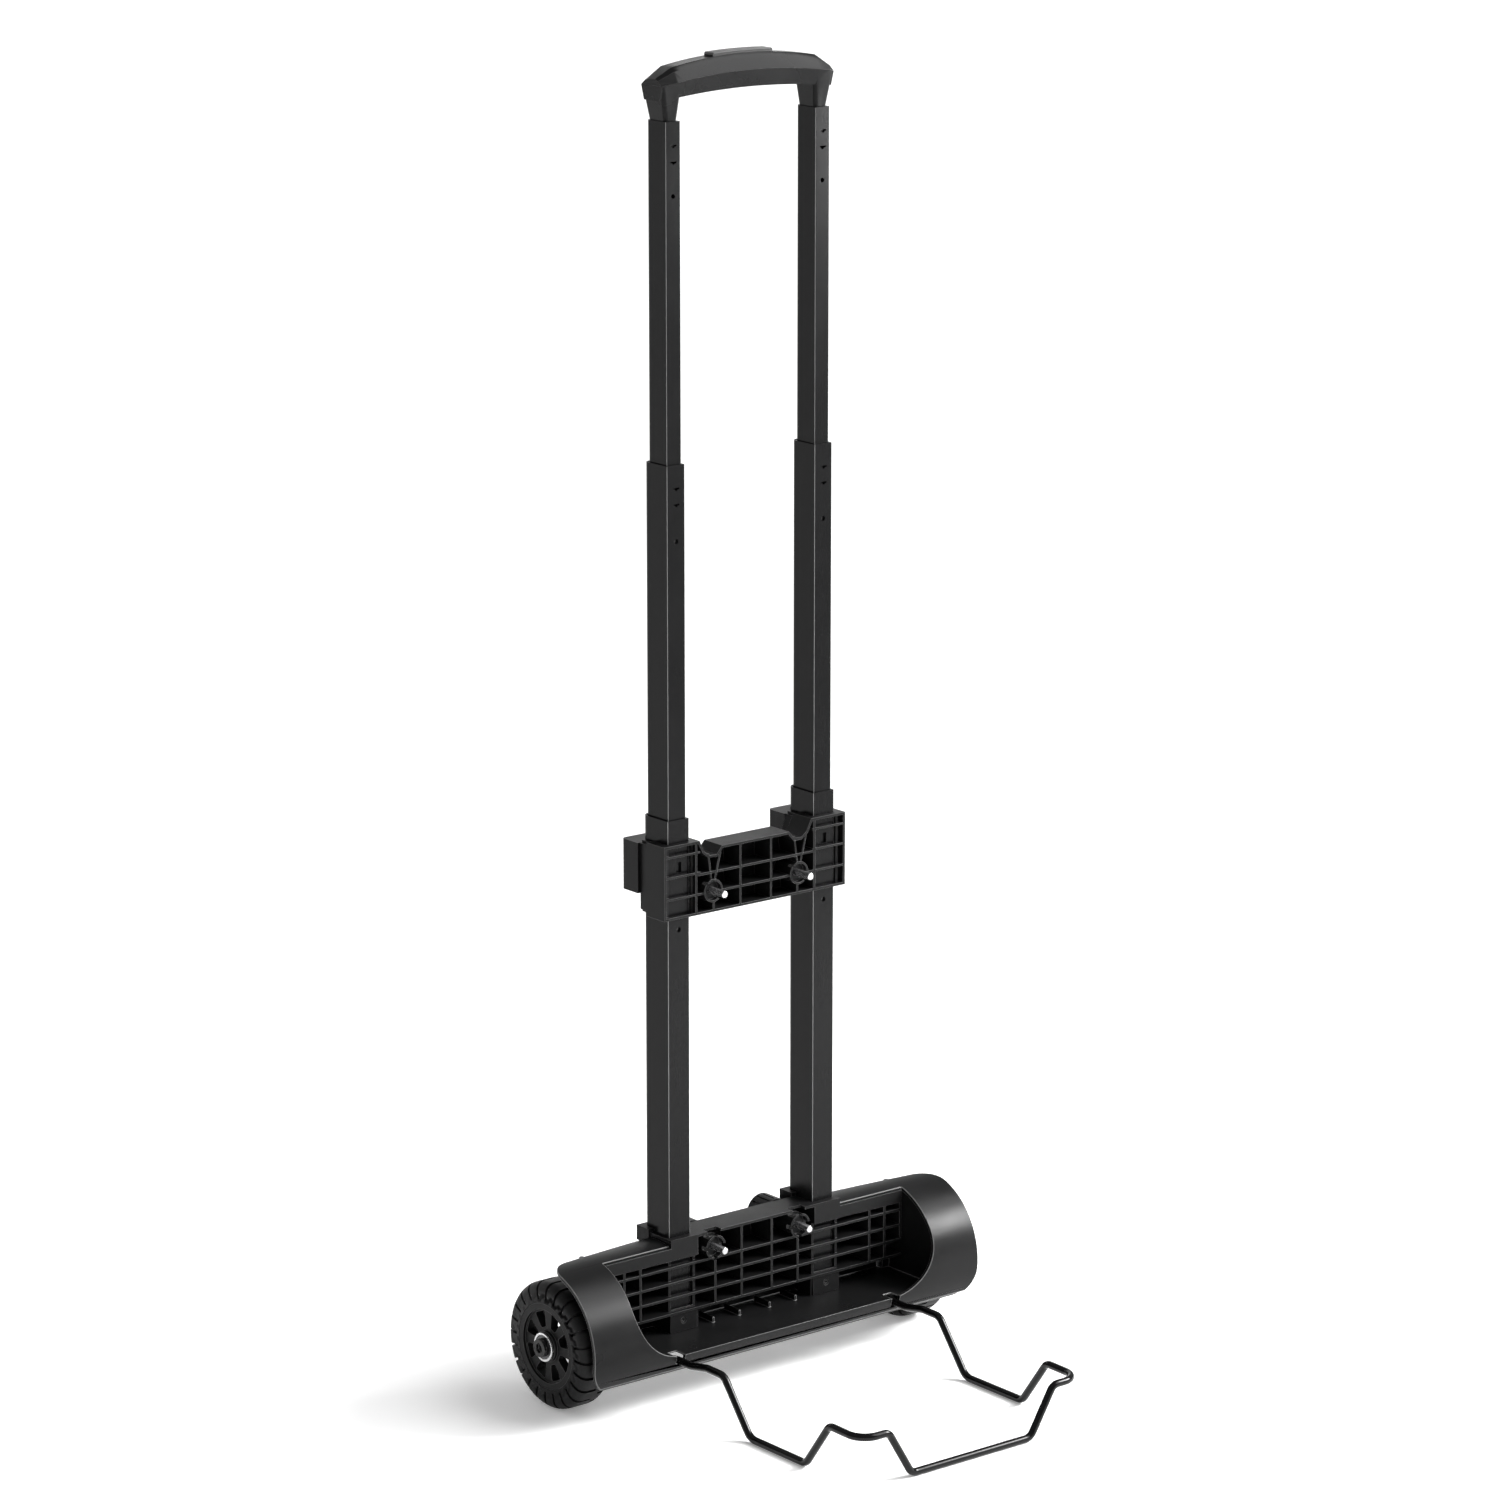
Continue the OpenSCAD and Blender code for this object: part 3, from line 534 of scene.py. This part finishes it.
class CART_OT_hardware(bpy.types.Operator):
    """Pins, caps, screws, axles, washers, bolts, lock pins and cord knobs"""
    bl_idname = "cart.hardware"
    bl_label = "Hardware"

    def execute(self, context):
        for side, _ in SIDES:
            for place in ("base", "cross"):
                moulded(f"{place}_pin_{side}", PIN_ROUND, "bright_steel", word="turned")
                moulded(f"pin_cap_{place}_{side}", PIN_ROUND, "bright_steel", word="pressed")
                moulded(f"cord_knob_{place}_{side}", KNOB_ROUND)
            moulded(f"axle_bolt_{side}", PIN_ROUND, "black_steel", word="forged")
            washer = moulded(f"washer_{side}", WASHER_ROUND, "chrome", word="pressed")
            self.dished(washer, *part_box(f"washer_{side}"))
            moulded(f"sleeve_screw_{side}", SCREW_ROUND, "black_steel", word="turned")
            dress_node(f"stub_axle_{side}")
            for name in (f"middle_lock_{side}", f"upper_lock_{side}"):
                dress_node(name, "black_steel")
        return {"FINISHED"}

    def dished(self, washer, low, high):
        """The floor of the washer's dish stays dull inside its bright rim."""
        washer.data.materials.append(finish("dull_chrome"))
        rim_depth, dish_radius = 0.0004, 0.0095
        far = max(abs(low[0]), abs(high[0]))
        middle = Vector([(a + b) / 2 for a, b in zip(low, high)])
        for face in washer.data.polygons:
            c = face.center
            if abs(c.x) < far - rim_depth and math.hypot(c.y - middle.y, c.z - middle.z) < dish_radius:
                face.material_index = 2


class CART_OT_wheels(bpy.types.Operator):
    """Rims, and tyres spun from their section with the tread pressed in"""
    bl_idname = "cart.wheels"
    bl_label = "Wheels"

    def execute(self, context):
        for side, sign in SIDES:
            moulded(f"wheel_rim_{side}", RIM_ROUND, "rim_plastic")
            self.tyre(side, sign)
        return {"FINISHED"}

    def tyre(self, side, sign):
        """Draws half the section as a plane, rounds its shoulders, spins it, and presses the grooves in."""
        s = settings()
        low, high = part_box(f"tyre_{side}")
        middle = Vector([(a + b) / 2 for a, b in zip(low, high)])
        outer, half = (high[2] - low[2]) / 2, (high[0] - low[0]) / 2
        inner = outer * TYRE_BORE_SHARE
        top = middle.z + outer - 0.001
        bpy.ops.object.select_all(action="DESELECT")
        bpy.ops.mesh.primitive_plane_add(size=1, location=middle + Vector((0, 0, (outer + inner) / 2)),
                                         rotation=(math.pi / 2, 0, 0))
        tyre = bpy.context.active_object
        tyre.name = f"tyre_{side}_rubber"
        tyre.scale = (half * 2, outer - inner, 1)
        place_in_mesh(tyre)
        pick(tyre, "VERT", lambda v: v.z > top)
        bpy.ops.mesh.bevel(offset=SHOULDER_ROUND, segments=6, affect="VERTICES")
        pick(tyre, "EDGE", lambda a, b: abs(a.z - b.z) < 0.0001 and a.z > top)
        bpy.ops.mesh.subdivide(number_cuts=4)
        pick(tyre, "EDGE", lambda a, b: abs(a.x - b.x) < 0.0001 and abs(a.z - b.z) > 0.004)
        bpy.ops.mesh.subdivide(number_cuts=2)
        bpy.ops.mesh.select_all(action="SELECT")
        bpy.ops.mesh.delete(type="ONLY_FACE")
        bpy.ops.mesh.select_all(action="SELECT")
        around = s.tread_blocks * STEPS_PER_BLOCK
        bpy.ops.mesh.spin(steps=around, angle=math.tau, center=middle, axis=(1, 0, 0))
        bpy.ops.mesh.select_all(action="SELECT")
        bpy.ops.mesh.remove_doubles(threshold=0.00002)
        bpy.ops.mesh.normals_make_consistent(inside=False)

        def groove(centre, normal):
            """One step in five, from the outer face over the shoulder to past the middle of the tread, and the
            other side's own grooves half a block on."""
            out = centre - middle
            reach = math.hypot(out.y, out.z)
            step = int((math.atan2(out.z, out.y) / math.tau + 1) * around) % STEPS_PER_BLOCK
            across = out.x * sign / half
            if step == 0:
                return across > -0.15 and reach > outer * 0.76
            return step == 2 and across < -0.35 and reach > outer * 0.8

        pick(tyre, "FACE", groove)
        bpy.ops.mesh.extrude_region_shrink_fatten(TRANSFORM_OT_shrink_fatten={"value": -s.tread_depth})
        object_mode()
        apply_bevel(tyre, TREAD_ROUND, 2, 40)
        smooth(tyre, 38)
        settle(tyre, f"wheel_{side}", "tyre_rubber", f"tyre_{side}")


class CART_OT_platform(bpy.types.Operator):
    """The platform: one round wire, drawn straight and turned at each bend"""
    bl_idname = "cart.platform"
    bl_label = "Platform wire"

    def execute(self, context):
        s = settings()
        thick = s.wire_thickness
        low, high = WIRE_BOX
        front = low[1] + thick / 2
        rest = thick / 2
        # (x, y, z, bend radius) from the left pivot end to the middle of the front bar
        half = [
            (-high[0], *PIVOT, 0),
            (-ARM_X, *PIVOT, 0.005),
            (-ARM_X, MID_Y - 0.076, 0.0402, 0.012),
            (-ARM_X, MID_Y - 0.096, 0.0438, 0.012),
            (-ARM_X, MID_Y - 0.116, 0.0436, 0.009),
            (-ARM_X, MID_Y - 0.148, rest, 0.012),
            (-ARM_X, MID_Y - 0.214, rest, 0.009),
            (-ARM_X, MID_Y - 0.2415, 0.0405, 0.008),
            (-ARM_X, front, 0.04, 0.015),
            (-0.081, front, 0.04, 0.008),
            (-0.0585, front, rest, 0.009),
        ]
        route = half + [(-x, y, z, r) for x, y, z, r in reversed(half)]
        places = [Vector(p[:3]) for p in route]
        ahead = (places[1] - places[0]).normalized()
        bpy.ops.object.select_all(action="DESELECT")
        bpy.ops.mesh.primitive_circle_add(vertices=WIRE_SIDES, radius=thick / 2, fill_type="NGON", location=places[0],
                                          rotation=ahead.to_track_quat("Z", "Y").to_euler())
        wire = context.active_object
        wire.name = "platform_wire_bent"
        place_in_mesh(wire)
        edit(wire, "FACE")
        bpy.ops.mesh.select_all(action="SELECT")
        here = places[0]
        for i in range(1, len(places) - 1):
            corner, radius = places[i], route[i][3]
            back, on = (places[i - 1] - corner).normalized(), (places[i + 1] - corner).normalized()
            gap = back.angle(on)
            reach = radius / math.tan(gap / 2)
            enter, leave = corner + back * reach, corner + on * reach
            centre = corner + (back + on).normalized() * (radius / math.sin(gap / 2))
            bpy.ops.mesh.extrude_region_move(TRANSFORM_OT_translate={"value": enter - here})
            axis = (enter - centre).cross(leave - centre).normalized()
            turn = math.pi - gap
            bpy.ops.mesh.spin(steps=max(3, round(math.degrees(turn) / BEND_STEP)), angle=turn,
                              center=centre, axis=-axis)
            here = leave
        bpy.ops.mesh.extrude_region_move(TRANSFORM_OT_translate={"value": places[-1] - here})
        object_mode()
        ends = [v.co for v in wire.data.vertices if v.select]
        if (sum(ends, Vector()) / len(ends) - places[-1]).length > 0.0005:
            raise RuntimeError("the platform wire went astray at a bend")
        edit(wire, "VERT")
        bpy.ops.mesh.select_all(action="SELECT")
        bpy.ops.mesh.remove_doubles(threshold=0.00001)
        bpy.ops.mesh.normals_make_consistent(inside=False)
        object_mode()
        apply_bevel(wire, 0.0004, 2, 60)
        smooth(wire, 45)
        settle(wire, "platform", "gloss_wire", "platform_wire")
        return {"FINISHED"}


class CART_PT_panel(bpy.types.Panel):
    """Lists the cart's settings and its parts"""
    bl_idname = "CART_PT_panel"
    bl_label = "Luggage Cart"
    bl_space_type = "VIEW_3D"
    bl_region_type = "UI"
    bl_category = "Luggage Cart"

    def draw(self, context):
        for name in CartSettings.__annotations__:
            self.layout.prop(context.scene.cart, name)
        for op in OPERATORS:
            self.layout.operator(op.bl_idname)


OPERATORS = (CART_OT_stage, CART_OT_tubes, CART_OT_grip, CART_OT_frame, CART_OT_hardware, CART_OT_wheels,
             CART_OT_platform)
CLASSES = (CartSettings, *OPERATORS, CART_PT_panel)


def register():
    for cls in CLASSES:
        bpy.utils.register_class(cls)
    bpy.types.Scene.cart = bpy.props.PointerProperty(type=CartSettings)


def unregister():
    del bpy.types.Scene.cart
    for cls in reversed(CLASSES):
        bpy.utils.unregister_class(cls)


def main():
    register()
    bpy.ops.cart.stage()
    bpy.ops.cart.tubes()
    bpy.ops.cart.grip()
    bpy.ops.cart.frame()
    bpy.ops.cart.hardware()
    bpy.ops.cart.wheels()
    bpy.ops.cart.platform()


if __name__ == "__main__":
    main()
